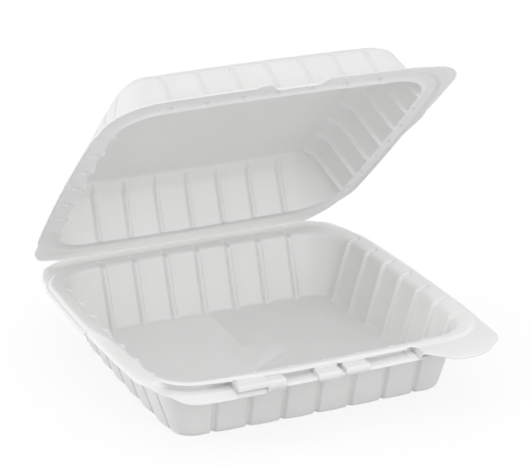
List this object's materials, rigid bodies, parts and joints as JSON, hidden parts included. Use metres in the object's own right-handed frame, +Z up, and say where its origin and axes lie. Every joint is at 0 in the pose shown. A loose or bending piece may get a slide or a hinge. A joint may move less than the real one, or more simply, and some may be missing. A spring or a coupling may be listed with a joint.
{
  "type": "hinged takeout container",
  "caption": "Square white hinged takeout container of thin formed plastic, with fluted walls, a tray, a domed lid held half open and a crease hinge.",
  "frame": {"origin": "underside of the tray's floor, in its middle; the rim's own middle is half a millimetre further back", "axes": "+X along the hinge, +Y towards the hinge, +Z up"},
  "size_m": [0.2324, 0.2559, 0.1998],
  "materials": {
    "shell": "satin"
  },
  "bodies": {
    "base": {"tray": "shell", "hinge_web": "shell"},
    "cover": {"lid": "shell"}
  },
  "joints": [
    {"name": "lid_hinge", "type": "hinge", "parent": "base", "child": "cover", "pos_m": [0, 0.1226, 0.0406], "axis": [-1, 0, 0], "range_deg": [-40.5, 139.5], "deforming": ["hinge_web"]}
  ]
}
